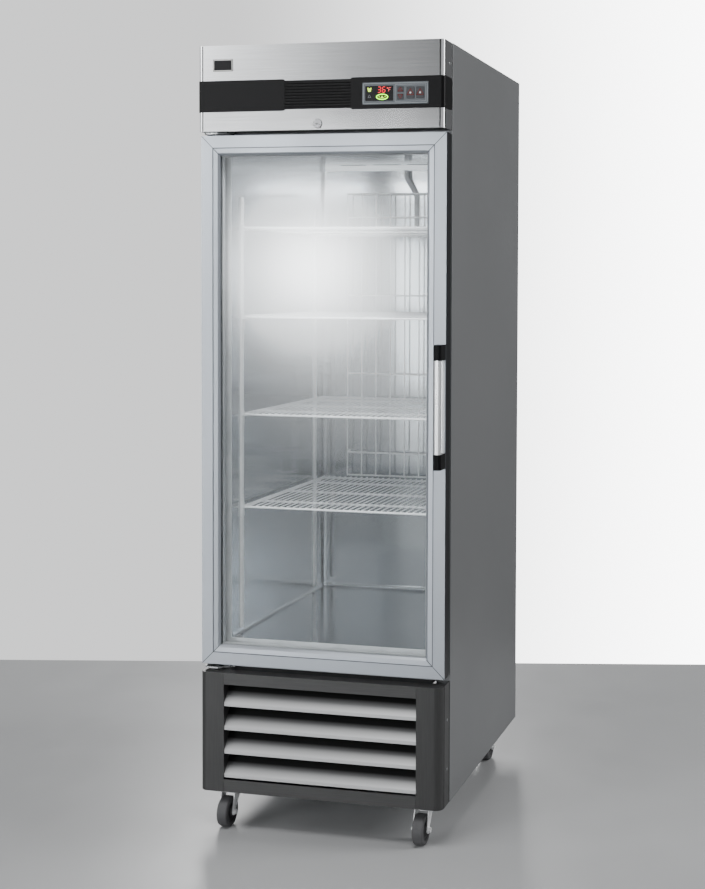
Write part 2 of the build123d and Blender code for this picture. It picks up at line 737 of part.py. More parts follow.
# A light strip along the rear edge of the ceiling.
with BuildPart() as led_lamp:
    block((-264, 264), (337, 360.5), (1824, cover_z[0]))
    chamfer(led_lamp.edges().filter_by(Axis.X).sort_by(Axis.Z)[:2].sort_by(Axis.Y)[0], length=9)
led_lamp.part.label = "led_lamp"
export_step(led_lamp.part, "parts/led_lamp.step")

# The grey drain hose, clipped to the rear wall.
hose_r = 7.0
with BuildPart() as drain_hose:
    with BuildLine() as hose_path:
        FilletPolyline(
            (2, liner_back - hose_r - 11, 1823),
            (2, liner_back - hose_r - 11, 1800),
            (32, liner_back - hose_r - 0.5, 1745),
            (32, liner_back - hose_r - 0.5, 1620),
            radius=22,
        )
    with BuildSketch(Plane(origin=hose_path.line @ 0, z_dir=hose_path.line % 0)):
        Circle(hose_r)
    sweep(path=hose_path.line)
drain_hose.part.label = "drain_hose"
export_step(drain_hose.part, "parts/drain_hose.step")

# ---- Machine compartment ----
machine_floor = base_z + pan_t
fan_x = -80.0
fan_z = 262.0
fan_r = 118.0
coil_y = (-318.0, -262.0)
with BuildPart() as condenser_coil:
    block((-240, 80), coil_y, (machine_floor + 6, 410))
    with Locations((fan_x, (coil_y[0] + coil_y[1]) / 2, (machine_floor + 416) / 2)):
        with GridLocations(10, 1, 30, 1):
            Box(6, coil_y[1] - coil_y[0], 270, mode=Mode.SUBTRACT)
    for z in (140, 181, 222, 263, 304, 345, 386):
        with Locations((fan_x, (coil_y[0] + coil_y[1]) / 2, z)):
            Cylinder(5, 336, rotation=(0, 90, 0))
condenser_coil.part.label = "condenser_coil"
export_step(condenser_coil.part, "parts/condenser_coil.step")

# The fan's shroud stands behind the coil. The motor hangs behind it on a bracket.
shroud_y = (coil_y[1], coil_y[1] + 44)
motor_y = (-196.0, -146.0)
with BuildPart() as condenser_fan_mount:
    block((-240, 80), shroud_y, (machine_floor, 412))
    block((-238, 78), (shroud_y[0], shroud_y[1] - 2), (machine_floor + 2, 410), mode=Mode.SUBTRACT)
    front_to_back(fan_x, (shroud_y[1] - 3, shroud_y[1] + 1), fan_z, fan_r + 5, mode=Mode.SUBTRACT)
    front_to_back(fan_x, motor_y, fan_z, 40)
    front_to_back(fan_x, (motor_y[0] - 36, motor_y[0]), fan_z, fan_shaft_r)
    block((fan_x - 25, fan_x + 25), (motor_y[0] + 6, motor_y[0] + 9), (machine_floor, fan_z - 30))
    block((fan_x - 25, fan_x + 25), (motor_y[0] + 6, motor_y[0] + 50), (machine_floor, machine_floor + 3))
condenser_fan_mount.part.label = "condenser_fan_mount"
export_step(condenser_fan_mount.part, "parts/condenser_fan_mount.step")

with BuildPart() as condenser_fan:
    hub_y = (motor_y[0] - 32, motor_y[0] - 10)
    front_to_back(fan_x, hub_y, fan_z, 26)
    with Locations(Location((fan_x, (hub_y[0] + hub_y[1]) / 2, fan_z), (90, 0, 0))):
        with PolarLocations(70, 4):
            Box(96, 56, 1.8, rotation=(blade_pitch, 0, 0))
    bore = (hub_y[0] - 20, hub_y[1] + 20)
    front_to_back(fan_x, bore, fan_z, fan_shaft_r + running_gap, mode=Mode.SUBTRACT)
condenser_fan.part.label = "condenser_fan"
export_step(condenser_fan.part, "parts/condenser_fan.step")

compressor_x = 60.0
compressor_y = 120.0
shell_r = 88.0
with BuildPart() as compressor:
    upright(compressor_x, compressor_y, (machine_floor + 22, machine_floor + 222), shell_r)
    fillet(compressor.faces().sort_by(Axis.Z)[-1].edges(), radius=62)
    fillet(compressor.faces().sort_by(Axis.Z)[0].edges(), radius=20)
    block(
        (compressor_x - 95, compressor_x + 95),
        (compressor_y - 75, compressor_y + 75),
        (machine_floor + 18, machine_floor + 22),
    )
    for dx in (-80, 80):
        for dy in (-60, 60):
            upright(compressor_x + dx, compressor_y + dy, (machine_floor, machine_floor + 18), 11)
    block(
        (compressor_x + shell_r - 14, compressor_x + shell_r + 26),
        (compressor_y - 34, compressor_y + 34),
        (machine_floor + 66, machine_floor + 138),
    )
compressor.part.label = "compressor"
export_step(compressor.part, "parts/compressor.step")

with BuildPart() as drip_pan:
    block((-310, -60), (200, 400), (machine_floor, machine_floor + 42))
    block((-308, -62), (202, 398), (machine_floor + 2, machine_floor + 42), mode=Mode.SUBTRACT)
drip_pan.part.label = "drip_pan"
export_step(drip_pan.part, "parts/drip_pan.step")

with BuildPart() as electrical_box:
    block((170, 320), (-300, -190), (machine_floor, machine_floor + 190))
    fillet(electrical_box.edges().filter_by(Axis.Z), radius=5)
electrical_box.part.label = "electrical_box"
export_step(electrical_box.part, "parts/electrical_box.step")

# Copper lines, each a run with rounded corners, and the drier in the liquid line.
line_r = 4.0
line_runs = (
    ((-30, 90, 330), (-100, 90, 330), (-100, -40, 330), (120, -40, 330), (120, -290, 330), (94, -290, 345)),
    ((94, -290, 140), (130, -290, 140), (130, -80, 140), (230, -80, 140), (230, 60, 140)),
    ((230, 180, 140), (230, 300, 140), (230, 300, 425)),
)
with BuildPart() as refrigerant_lines:
    for run in line_runs:
        with BuildLine() as line_path:
            FilletPolyline(*run, radius=12)
        with BuildSketch(Plane(origin=line_path.line @ 0, z_dir=line_path.line % 0)):
            Circle(line_r)
        sweep(path=line_path.line)
    front_to_back(230, (60, 180), 140, 14)
refrigerant_lines.part.label = "refrigerant_lines"
export_step(refrigerant_lines.part, "parts/refrigerant_lines.step")

# ---- Casters ----
caster_x = 274.0
caster_rows = (-335.0, 355.0)
wheel_r = 40.0
wheel_w = 30.0
trail = 34.0
axle_r = 4.0
leg_gap = 18.0  # half the space between the fork's legs
leg_t = 2.5
foot_r = 10.0  # round lower end of each leg
crown_z = (86.0, 92.7)
race_r = 27.0
kingpin_r = 5.0
corners = (
    ("front_left", -caster_x, caster_rows[0]),
    ("front_right", caster_x, caster_rows[0]),
    ("rear_left", -caster_x, caster_rows[1]),
    ("rear_right", caster_x, caster_rows[1]),
)
with BuildPart() as caster_plates:
    for name, x, y in corners:
        block((x - 32, x + 32), (y - 30, y + 30), (base_z - 3, base_z))
        upright(x, y, (96, base_z - 3), race_r - 3)
        upright(x, y, (93, 96), race_r)
        upright(x, y, (85.7, 93), kingpin_r)
        upright(x, y, (82, 85.7), 8)
caster_plates.part.label = "caster_plates"
export_step(caster_plates.part, "parts/caster_plates.step")

for name, x, y in corners:
    axle_y = y - trail
    with BuildPart() as fork:
        upright(x, y, crown_z, race_r)
        for side in (-1, 1):
            with BuildSketch(Plane.YZ.offset(x + side * leg_gap)):
                with BuildLine():
                    Line((y - race_r, crown_z[1]), (y + race_r - 6, crown_z[1]))
                    Line((y + race_r - 6, crown_z[1]), (y + race_r - 6, crown_z[0]))
                    ThreePointArc(
                        (y + race_r - 6, crown_z[0]),
                        (y - 6, 68),
                        (axle_y + foot_r, wheel_r),
                    )
                    ThreePointArc(
                        (axle_y + foot_r, wheel_r),
                        (axle_y, wheel_r - foot_r),
                        (axle_y - foot_r, wheel_r),
                    )
                    ThreePointArc(
                        (axle_y - foot_r, wheel_r),
                        (axle_y - 4, 66),
                        (y - race_r, crown_z[1]),
                    )
                make_face()
            extrude(amount=side * leg_t)
        upright(x, y, (crown_z[0] - 1, crown_z[1] + 1), kingpin_r + 0.1, mode=Mode.SUBTRACT)
        with Locations((x, axle_y, wheel_r)):
            Cylinder(axle_r, 2 * (leg_gap + leg_t) + 12, rotation=(0, 90, 0))
            for side in (-1, 1):
                with Locations((side * (leg_gap + leg_t + 0.6), 0, 0)):
                    Cylinder(9, 1.2, rotation=(0, 90, 0))
        with BuildSketch(Plane.YZ.offset(x + leg_gap + leg_t + 1.2)):
            with Locations((axle_y, wheel_r)):
                RegularPolygon(7, 6)
        extrude(amount=5)
    fork.part.label = f"caster_fork_{name}"
    export_step(fork.part, f"parts/caster_fork_{name}.step")

    with BuildPart() as wheel:
        with Locations((x, axle_y, wheel_r)):
            Cylinder(wheel_r, wheel_w, rotation=(0, 90, 0))
            fillet(wheel.edges().filter_by(GeomType.CIRCLE), radius=5)
            # A dished ring in each side, between the hub and the tread.
            for side in (-1, 1):
                with Locations((side * wheel_w / 2, 0, 0)):
                    Cylinder(wheel_r - 11, 6, rotation=(0, 90, 0), mode=Mode.SUBTRACT)
            Cylinder(13, 2 * leg_gap - 1, rotation=(0, 90, 0))
            Cylinder(axle_r + running_gap, 2 * leg_gap + 10, rotation=(0, 90, 0), mode=Mode.SUBTRACT)
    wheel.part.label = f"caster_wheel_{name}"
    export_step(wheel.part, f"parts/caster_wheel_{name}.step")
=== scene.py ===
import json
import math

import bmesh
import bpy
from mathutils import Matrix, Vector


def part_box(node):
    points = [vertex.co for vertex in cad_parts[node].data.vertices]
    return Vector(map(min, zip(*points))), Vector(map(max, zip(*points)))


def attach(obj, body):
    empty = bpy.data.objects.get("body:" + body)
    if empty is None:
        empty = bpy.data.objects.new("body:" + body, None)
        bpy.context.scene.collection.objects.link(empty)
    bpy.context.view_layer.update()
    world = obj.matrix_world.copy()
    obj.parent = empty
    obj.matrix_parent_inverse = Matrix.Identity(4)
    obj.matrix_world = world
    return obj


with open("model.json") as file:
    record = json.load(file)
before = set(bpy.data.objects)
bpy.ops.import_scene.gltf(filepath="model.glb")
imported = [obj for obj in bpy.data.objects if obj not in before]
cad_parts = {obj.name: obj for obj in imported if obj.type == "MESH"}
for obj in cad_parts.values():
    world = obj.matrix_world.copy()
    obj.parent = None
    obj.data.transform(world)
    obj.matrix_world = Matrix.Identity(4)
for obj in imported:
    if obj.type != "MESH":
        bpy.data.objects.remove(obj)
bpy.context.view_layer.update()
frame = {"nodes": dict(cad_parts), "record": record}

MM = 0.001
# How far printed signs, joint lines and painted shade lines stand proud of a surface, and how far
# they are let into it.
PRINT = 0.1 * MM
JOINT_AND_SHADE_LINE = 0.05 * MM
LET_IN = 0.2 * MM
# Noise settings: the same in every direction, the grain of brushed sheet, and a coating's flecks.
EVEN = (1, 1, 1)
BRUSHED = 900.0
FLECKS = 1400.0

nodes = frame["nodes"]
stile_low, stile_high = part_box("door_stiles")
cover_low, cover_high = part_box("grille_cover")


# ---- Material building blocks ----
def shader(name, color, metallic=0.0, roughness=0.5, **more):
    """A new material: its colour and finish are set on the Principled shader's own sockets."""
    material = bpy.data.materials.new(name)
    material.use_nodes = True
    main = material.node_tree.nodes["Principled BSDF"]
    main.inputs["Base Color"].default_value = (*color, 1)
    main.inputs["Metallic"].default_value = metallic
    main.inputs["Roughness"].default_value = roughness
    for socket, value in more.items():
        main.inputs[socket.replace("_", " ")].default_value = value
    return material, material.node_tree, main


def noise(tree, stretch, scale, detail=4.0, roughness=0.6):
    """Noise fixed to the piece, its grain drawn out by stretch along X, Y and Z."""
    place = tree.nodes.new("ShaderNodeTexCoord")
    mapping = tree.nodes.new("ShaderNodeMapping")
    mapping.inputs["Scale"].default_value = stretch
    texture = tree.nodes.new("ShaderNodeTexNoise")
    texture.inputs["Scale"].default_value = scale
    texture.inputs["Detail"].default_value = detail
    texture.inputs["Roughness"].default_value = roughness
    tree.links.new(place.outputs["Object"], mapping.inputs["Vector"])
    tree.links.new(mapping.outputs["Vector"], texture.inputs["Vector"])
    return texture.outputs["Fac"]


def spread(tree, source, low, high, start=0.3, end=0.7):
    """The source's middle range, from start to end, spread over low to high."""
    node = tree.nodes.new("ShaderNodeMapRange")
    node.inputs["From Min"].default_value = start
    node.inputs["From Max"].default_value = end
    node.inputs["To Min"].default_value = low
    node.inputs["To Max"].default_value = high
    tree.links.new(source, node.inputs["Value"])
    return node.outputs["Result"]


def tint(tree, main, source, dark, light, start=0.3, end=0.7):
    """Colour that drifts between two shades with the source."""
    ramp = tree.nodes.new("ShaderNodeValToRGB")
    ramp.color_ramp.elements[0].position = start
    ramp.color_ramp.elements[0].color = (*dark, 1)
    ramp.color_ramp.elements[1].position = end
    ramp.color_ramp.elements[1].color = (*light, 1)
    tree.links.new(source, ramp.inputs["Fac"])
    tree.links.new(ramp.outputs["Color"], main.inputs["Base Color"])


def bump(tree, main, source, depth, strength=1.0):
    """Relief of the given depth in metres."""
    node = tree.nodes.new("ShaderNodeBump")
    node.inputs["Strength"].default_value = strength
    node.inputs["Distance"].default_value = depth
    tree.links.new(source, node.inputs["Height"])
    tree.links.new(node.outputs["Normal"], main.inputs["Normal"])


def coordinate(tree, axis, kind="Object"):
    """The place along X, Y or Z."""
    where = tree.nodes.new("ShaderNodeTexCoord")
    split = tree.nodes.new("ShaderNodeSeparateXYZ")
    tree.links.new(where.outputs[kind], split.inputs["Vector"])
    return split.outputs[axis]


def place_mask(tree, axis, limit, absolute=False):
    """One beyond a place along X, Y or Z of the piece, nought before it."""
    value = coordinate(tree, axis)
    if absolute:
        size = tree.nodes.new("ShaderNodeMath")
        size.operation = "ABSOLUTE"
        tree.links.new(value, size.inputs[0])
        value = size.outputs["Value"]
    beyond = tree.nodes.new("ShaderNodeMath")
    beyond.operation = "GREATER_THAN"
    beyond.inputs[1].default_value = limit
    tree.links.new(value, beyond.inputs[0])
    return beyond.outputs["Value"]


def mix_color(tree, factor, first, second):
    """A colour between two, each a colour or a node's output."""
    mix = tree.nodes.new("ShaderNodeMix")
    mix.data_type = "RGBA"
    tree.links.new(factor, mix.inputs["Factor"])
    for socket, color in (("A", first), ("B", second)):
        target = next(i for i in mix.inputs if i.name == socket and i.type == "RGBA")
        if isinstance(color, tuple):
            target.default_value = (*color, 1)
        else:
            tree.links.new(color, target)
    return next(o for o in mix.outputs if o.type == "RGBA")


def shade(color, factor):
    """A colour made darker or lighter."""
    return tuple(c * factor for c in color)


def grain_along(axis, across, along):
    """Noise stretch that draws a grain out along one axis."""
    stretch = [across] * 3
    stretch["XYZ".index(axis)] = along
    return stretch


def flecked(tree, main):
    """The fine relief of a sprayed coating, and its noise."""
    grain = noise(tree, EVEN, FLECKS, detail=2.0, roughness=0.8)
    bump(tree, main, grain, 0.03 * MM, 0.2)
    return grain


# ---- Materials, one function for each kind of surface ----
def brushed_steel(name, color, along, low, high):
    """Stainless sheet with its grain along one axis."""
    material, tree, main = shader(name, color, metallic=1.0, roughness=low)
    grain = noise(tree, grain_along(along, BRUSHED, 6.0), 1.0, detail=3.0)
    cloud = noise(tree, EVEN, 3.0, detail=2.0)
    tint(tree, main, grain, shade(color, 0.9), shade(color, 1.06))
    tree.links.new(spread(tree, cloud, low, high), main.inputs["Roughness"])
    bump(tree, main, grain, 0.02 * MM, 0.25)
    return material


def coated_steel(name, color, metallic, roughness):
    """Dark satin coating with fine flecks."""
    material, tree, main = shader(name, color, metallic=metallic, roughness=roughness)
    drift = noise(tree, EVEN, 2.2, detail=2.0)
    tint(tree, main, flecked(tree, main), shade(color, 0.84), shade(color, 1.16))
    tree.links.new(spread(tree, drift, roughness * 0.88, roughness * 1.12), main.inputs["Roughness"])
    return material


def corner_post_steel(name, post, rail, seam_x):
    """Dark coated sheet, brushed upright on the corner posts and level on the rails between them;
    the rails' lighter colour is a painted sheen of their level grain.
    """
    material, tree, main = shader(name, rail, metallic=0.5, roughness=0.38)
    upright = noise(tree, grain_along("Z", BRUSHED, 12.0), 1.0, detail=3.0)
    level = noise(tree, grain_along("X", BRUSHED, 12.0), 1.0, detail=3.0)
    on_post = place_mask(tree, "X", seam_x, absolute=True)
    post_color = mix_color(tree, upright, shade(post, 0.7), shade(post, 1.3))
    rail_color = mix_color(tree, level, shade(rail, 0.7), shade(rail, 1.3))
    # The rails' colour, a little lighter than the posts', is painted sheen.
    tree.links.new(mix_color(tree, on_post, rail_color, post_color), main.inputs["Base Color"])
    tree.links.new(spread(tree, flecked(tree, main), 0.33, 0.43), main.inputs["Roughness"])
    return material


def framed_aluminium(name, face, edge, side_x, face_y):
    """Anodised door frame: bright on its face and dark on its outer sides."""
    material, tree, main = shader(name, face, metallic=0.85, roughness=0.38)
    speck = noise(tree, EVEN, 1800.0, detail=1.0)
    cloud = noise(tree, (1, 1, 0.2), 5.0, detail=2.0)
    face_color = mix_color(tree, speck, shade(face, 0.93), shade(face, 1.06))
    on_side = tree.nodes.new("ShaderNodeMath")
    on_side.operation = "MULTIPLY"
    tree.links.new(place_mask(tree, "X", side_x, absolute=True), on_side.inputs[0])
    tree.links.new(place_mask(tree, "Y", face_y), on_side.inputs[1])
    color = mix_color(tree, on_side.outputs["Value"], face_color, edge)
    tree.links.new(color, main.inputs["Base Color"])
    tree.links.new(spread(tree, cloud, 0.33, 0.43), main.inputs["Roughness"])
    bump(tree, main, speck, 0.01 * MM, 0.2)
    return material


def anodised(name, color, along, roughness):
    """Extruded and anodised aluminium, with faint die lines along one axis."""
    material, tree, main = shader(name, color, metallic=0.85, roughness=roughness)
    lines = noise(tree, grain_along(along, 1500.0, 8.0), 1.0, detail=2.0)
    speck = noise(tree, EVEN, 1800.0, detail=1.0)
    tint(tree, main, speck, shade(color, 0.93), shade(color, 1.06))
    tree.links.new(spread(tree, lines, roughness * 0.85, roughness * 1.15), main.inputs["Roughness"])
    bump(tree, main, lines, 0.01 * MM, 0.2)
    return material


def moulded(name, color, roughness, pebble_mm=0.5, relief_mm=0.08, gloss=0.5):
    """Moulded plastic or rubber with a fine pebbled skin."""
    material, tree, main = shader(name, color, roughness=roughness, Specular_IOR_Level=gloss)
    pebble = noise(tree, EVEN, 1.0 / (pebble_mm * MM), detail=2.0, roughness=0.5)
    drift = noise(tree, EVEN, 12.0, detail=2.0)
    tint(tree, main, drift, shade(color, 0.85), shade(color, 1.15))
    rougher = min(1, roughness * 1.15)
    tree.links.new(spread(tree, pebble, roughness * 0.85, rougher), main.inputs["Roughness"])
    bump(tree, main, pebble, relief_mm * MM, 0.35)
    return material


def plated(name, color, roughness, metallic=1.0):
    """Bright plating, slightly clouded by handling."""
    material, tree, main = shader(name, color, metallic=metallic, roughness=roughness)
    cloud = noise(tree, EVEN, 60.0, detail=4.0)
    tree.links.new(spread(tree, cloud, roughness * 0.6, roughness * 1.7), main.inputs["Roughness"])
    tint(tree, main, cloud, shade(color, 0.9), color)
    return material


def louvre_steel(name, lip, painted_shade, lip_y, painted_shade_y):
    """Coated slats: pale at the lip, with painted shade darkening them towards the back of the
    slope.
    """
    material, tree, main = shader(name, lip, metallic=0.3, roughness=0.42)
    # Painted shade: the colour fades to near black towards the back of each slat, where the slat
    # above shades it.
    back = spread(tree, coordinate(tree, "Y"), 0.0, 1.0, lip_y, painted_shade_y)
    grain = flecked(tree, main)
    lip_color = mix_color(tree, grain, shade(lip, 0.85), shade(lip, 1.15))
    painted_shade_color = mix_color(tree, grain, shade(painted_shade, 0.5), shade(painted_shade, 1.5))
    tree.links.new(mix_color(tree, back, lip_color, painted_shade_color), main.inputs["Base Color"])
    return material


def clear_glass(name):
    """Clear tempered glass that lets the lamps' light through to the shelves."""
    material, tree, main = shader(
        name, (0.97, 0.985, 0.985), roughness=0.0, Transmission_Weight=1.0, IOR=1.45
    )
    wipe = noise(tree, (1, 1, 0.3), 9.0, detail=3.0)
    tree.links.new(spread(tree, wipe, 0.0, 0.035), main.inputs["Roughness"])
    ray = tree.nodes.new("ShaderNodeLightPath")
    open_way = tree.nodes.new("ShaderNodeBsdfTransparent")
    mix = tree.nodes.new("ShaderNodeMixShader")
    out = tree.nodes["Material Output"]
    tree.links.new(ray.outputs["Is Shadow Ray"], mix.inputs["Fac"])
    tree.links.new(main.outputs["BSDF"], mix.inputs[1])
    tree.links.new(open_way.outputs["BSDF"], mix.inputs[2])
    tree.links.new(mix.outputs["Shader"], out.inputs["Surface"])
    return material


def lit(name, color, strength):
    """A surface that gives light."""
    material, tree, main = shader(name, color, roughness=0.5)
    main.inputs["Emission Color"].default_value = (*color, 1)
    main.inputs["Emission Strength"].default_value = strength
    bump(tree, main, noise(tree, EVEN, 900.0), 0.02 * MM, 0.1)
    return material


def foam_block(name):
    """Sawn rigid foam with open cells."""
    material, tree, main = shader(name, (0.74, 0.62, 0.38), roughness=0.95)
    cells = noise(tree, EVEN, 700.0, detail=3.0)
    tint(tree, main, cells, (0.62, 0.5, 0.28), (0.82, 0.71, 0.47))
    bump(tree, main, cells, 0.4 * MM, 0.6)
    return material


# Each record slot's finish: the function that makes it, then what that function is given.
POST_SEAM_X = cover_high.x - 70 * MM
FRAME_SIDE_X = stile_high.x - 1.5 * MM
FRAME_FACE_Y = stile_low.y + 1.5 * MM
# Where the slats' painted shade starts, at the lip, and where it is darkest.
SLAT_LIP_Y = cover_low.y
SLAT_PAINTED_SHADE_Y = cover_low.y + 27 * MM
FINISHES = {
    "graphite_steel": (coated_steel, (0.2, 0.204, 0.209), 0.45, 0.42),
    # Posts and rails: the rails' lighter colour is painted sheen.
    "grille_steel": (corner_post_steel, (0.05, 0.05, 0.05), (0.062, 0.062, 0.062), POST_SEAM_X),
    "hood_steel": (brushed_steel, (0.56, 0.565, 0.57), "X", 0.09, 0.13),
    "liner_steel": (brushed_steel, (0.52, 0.54, 0.565), "Z", 0.12, 0.2),
    "plain_galvanised": (brushed_steel, (0.46, 0.47, 0.48), "Z", 0.4, 0.6),
    "foam": (foam_block,),
    "grey_trim": (moulded, (0.5, 0.52, 0.54), 0.45),
    "door_aluminium": (
        framed_aluminium,
        (0.41, 0.44, 0.48),
        (0.02, 0.022, 0.025),
        FRAME_SIDE_X,
        FRAME_FACE_Y,
    ),
    "handle_aluminium": (anodised, (0.88, 0.89, 0.9), "Z", 0.3),
    "spacer_aluminium": (anodised, (0.5, 0.52, 0.54), "Z", 0.5),
    "door_glass": (clear_glass,),
    "gasket_vinyl": (moulded, (0.3, 0.31, 0.32), 0.6, 0.8),
    "black_plastic": (moulded, (0.002, 0.002, 0.0024), 0.38, 0.7, 0.1, 0.12),
    "bush_nylon": (moulded, (0.03, 0.03, 0.03), 0.5),
    "bezel_grey": (moulded, (0.06, 0.07, 0.08), 0.4, 0.3, 0.03),
    "display_dark": (moulded, (0.004, 0.004, 0.005), 0.1, 1.0, 0.002),
    "key_dark": (moulded, (0.03, 0.032, 0.036), 0.4, 0.4, 0.03, 0.3),
    "lock_chrome": (plated, (0.2, 0.2, 0.205), 0.2),
    "badge_black": (moulded, (0.003, 0.003, 0.004), 0.3, 0.3, 0.01, 0.12),
    "zinc": (plated, (0.5, 0.51, 0.52), 0.3),
    # The slats' second colour is painted shade, darkest at the back of each slope.
    "slat_grey": (louvre_steel, (0.6, 0.605, 0.61), (0.006, 0.006, 0.006), SLAT_LIP_Y, SLAT_PAINTED_SHADE_Y),
    "white_wire": (moulded, (0.78, 0.79, 0.81), 0.3, 1.2, 0.05),
    "fin_aluminium": (anodised, (0.6, 0.61, 0.62), "Z", 0.35),
    "motor_grey": (coated_steel, (0.07, 0.072, 0.075), 0.3, 0.45),
    "fan_plastic": (moulded, (0.02, 0.02, 0.021), 0.45),
    "compressor_black": (coated_steel, (0.012, 0.012, 0.013), 0.2, 0.25),
    "copper": (plated, (0.72, 0.36, 0.2), 0.3),
    "lamp_white": (lit, (0.93, 0.97, 1.0), 0.7),
    "hose_grey": (moulded, (0.3, 0.31, 0.325), 0.5),
    "pan_plastic": (moulded, (0.03, 0.03, 0.03), 0.5),
    "box_grey": (coated_steel, (0.25, 0.26, 0.27), 0.2, 0.5),
    "caster_chrome": (plated, (0.95, 0.955, 0.96), 0.3, 0.2),
    "caster_rubber": (moulded, (0.075, 0.075, 0.078), 0.7, 1.0, 0.2),
}
materials = {name: make(name, *settings) for name, (make, *settings) in FINISHES.items()}
for part in frame["record"]["subparts"]:
    for place in nodes[part["node"]].material_slots:
        place.material = materials[part["material_slot"]]
for place in nodes["shelf_standards"].material_slots:
    place.material = plated("standard_zinc", (0.93, 0.94, 0.95), 0.45, metallic=0.2)


# ---- Mesh building blocks ----
def from_bmesh(name, bm):
    """Mesh data with its faces turned outward."""
    bmesh.ops.recalc_face_normals(bm, faces=bm.faces)
    data = bpy.data.meshes.new(name)
    bm.to_mesh(data)
    bm.free()
    return data


def piece(name, shape, material, body):
    """A finished piece: its shape, its material and the body it rides on."""
    if isinstance(shape, bmesh.types.BMesh):
        shape = from_bmesh(name, shape)
    made = bpy.data.objects.new(name, shape)
    bpy.context.scene.collection.objects.link(made)
    made.data.materials.append(material)
    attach(made, body)


def add_plate(bm, outline, depth, y):
    """A flat plate facing the front: an outline of (x, z) points, standing depth proud of y."""
    front = [bm.verts.new((x, y - depth, z)) for x, z in outline]
    back = [bm.verts.new((x, y + LET_IN, z)) for x, z in outline]
    bm.faces.new(front)
    bm.faces.new(back[::-1])
    for i, vert in enumerate(front):
        after = (i + 1) % len(front)
        bm.faces.new((vert, back[i], back[after], front[after]))


def add_line(bm, start, end, width, depth, y):
    """A raised straight line between two (x, z) points."""
    along = (Vector(end) - Vector(start)).normalized()
    across = Vector((-along.y, along.x)) * (width / 2)
    corners = (
        Vector(start) + across,
        Vector(end) + across,
        Vector(end) - across,
        Vector(start) - across,
    )
    add_plate(bm, [tuple(c) for c in corners], depth, y)


def add_outline(bm, points, width, depth, y):
    """Raised lines round a closed outline, each drawn on to meet the next at its corner."""
    for i, start in enumerate(points):
        end = points[(i + 1) % len(points)]
        along = (Vector(end) - Vector(start)).normalized() * (width / 2)
        add_line(bm, tuple(Vector(start) - along), tuple(Vector(end) + along), width, depth, y)


def rectangle(low, high):
    """Four (x, z) corners, from the lowest and the highest."""
    return ((low[0], low[1]), (high[0], low[1]), (high[0], high[1]), (low[0], high[1]))


def inset(low, high, gap):
    """The outline that lies a gap inside the front of a box."""
    return rectangle((low.x + gap, low.z + gap), (high.x - gap, high.z - gap))


def triangle(centre, width, height):
    """A triangle about its centre: a height below nought points it down."""
    x, z = centre
    return ((x - width / 2, z - height / 2), (x + width / 2, z - height / 2), (x, z + height / 2))


def oval(centre, width, height, count=40):
    """An ellipse as (x, z) points, for a flat plate."""
    angles = [2 * math.pi * i / count for i in range(count)]
    x, z = centre
    return [(x + math.cos(a) * width / 2, z + math.sin(a) * height / 2) for a in angles]


def revolved(name, profile, centre, axis, steps=64):
    """A turned piece: profile gives (distance along the axis, radius) points from centre."""
    bm = bmesh.new()
    turn = Vector((0, 0, 1)).rotation_difference(Vector(axis)).to_matrix()
    rings = []
    for along, radius in profile:
        ring = []
        for i in range(steps):
            angle = 2 * math.pi * i / steps
            spot = Vector((math.cos(angle) * radius, math.sin(angle) * radius, along))
            ring.append(bm.verts.new(Vector(centre) + turn @ spot))
        rings.append(ring)
    for a, b in zip(rings, rings[1:]):
        for i in range(steps):
            after = (i + 1) % steps
            bm.faces.new((a[i], a[after], b[after], b[i]))
    bm.faces.new(rings[0][::-1])
    bm.faces.new(rings[-1])
    data = from_bmesh(name, bm)
    for face in data.polygons:
        face.use_smooth = len(face.vertices) == 4
    return data


# ---- Display: a generic temperature readout and its signs ----
window_low, window_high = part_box("display_window")
window_y = window_low.y
window_w = window_high.x - window_low.x
window_h = window_high.z - window_low.z
SEGMENTS = {"3": "abgcd", "6": "acdefg"}
LEAN = 0.1


def in_window(u, v):
    """A place in the display window, u and v being shares of its width and height."""
    return (window_low.x + u * window_w, window_low.z + v * window_h)


def add_digit(bm, digit, left, bottom, width, height, y):
    """One seven-segment digit, leaning slightly."""

    def at(u, v):
        return (left + u * width + v * height * LEAN, bottom + v * height)

    ends = {
        "a": ((0.12, 1), (0.88, 1)),
        "b": ((1, 0.94), (1, 0.56)),
        "c": ((1, 0.44), (1, 0.06)),
        "d": ((0.12, 0), (0.88, 0)),
        "e": ((0, 0.44), (0, 0.06)),
        "f": ((0, 0.94), (0, 0.56)),
        "g": ((0.12, 0.5), (0.88, 0.5)),
    }
    for segment in SEGMENTS[digit]:
        start, end = ends[segment]
        add_line(bm, at(*start), at(*end), width * 0.24, PRINT, y)


digits = bmesh.new()
for i, digit in enumerate("36"):
    left, bottom = in_window(0.44 + 0.16 * i, 0.56)
    add_digit(digits, digit, left, bottom, 7.5 * MM, 14 * MM, window_y)
red_light = lit("red_light", (1.0, 0.01, 0.02), 1.0)
piece("display_digits", digits, red_light, "cabinet")

# The unit: a degree ring and the strokes of a capital F.
unit = bmesh.new()
add_outline(unit, oval(in_window(0.79, 0.84), 2.2 * MM, 2.2 * MM, 12), 0.6 * MM, PRINT, window_y)
UNIT_STROKES = (
    ((0.83, 0.62), (0.83, 0.86)),
    ((0.83, 0.86), (0.91, 0.86)),
    ((0.83, 0.74), (0.89, 0.74)),
)
for start, end in UNIT_STROKES:
    add_line(unit, in_window(*start), in_window(*end), 0.9 * MM, PRINT, window_y)
pink_light = lit("pink_light", (1.0, 0.1, 0.1), 1.0)
piece("display_unit", unit, pink_light, "cabinet")

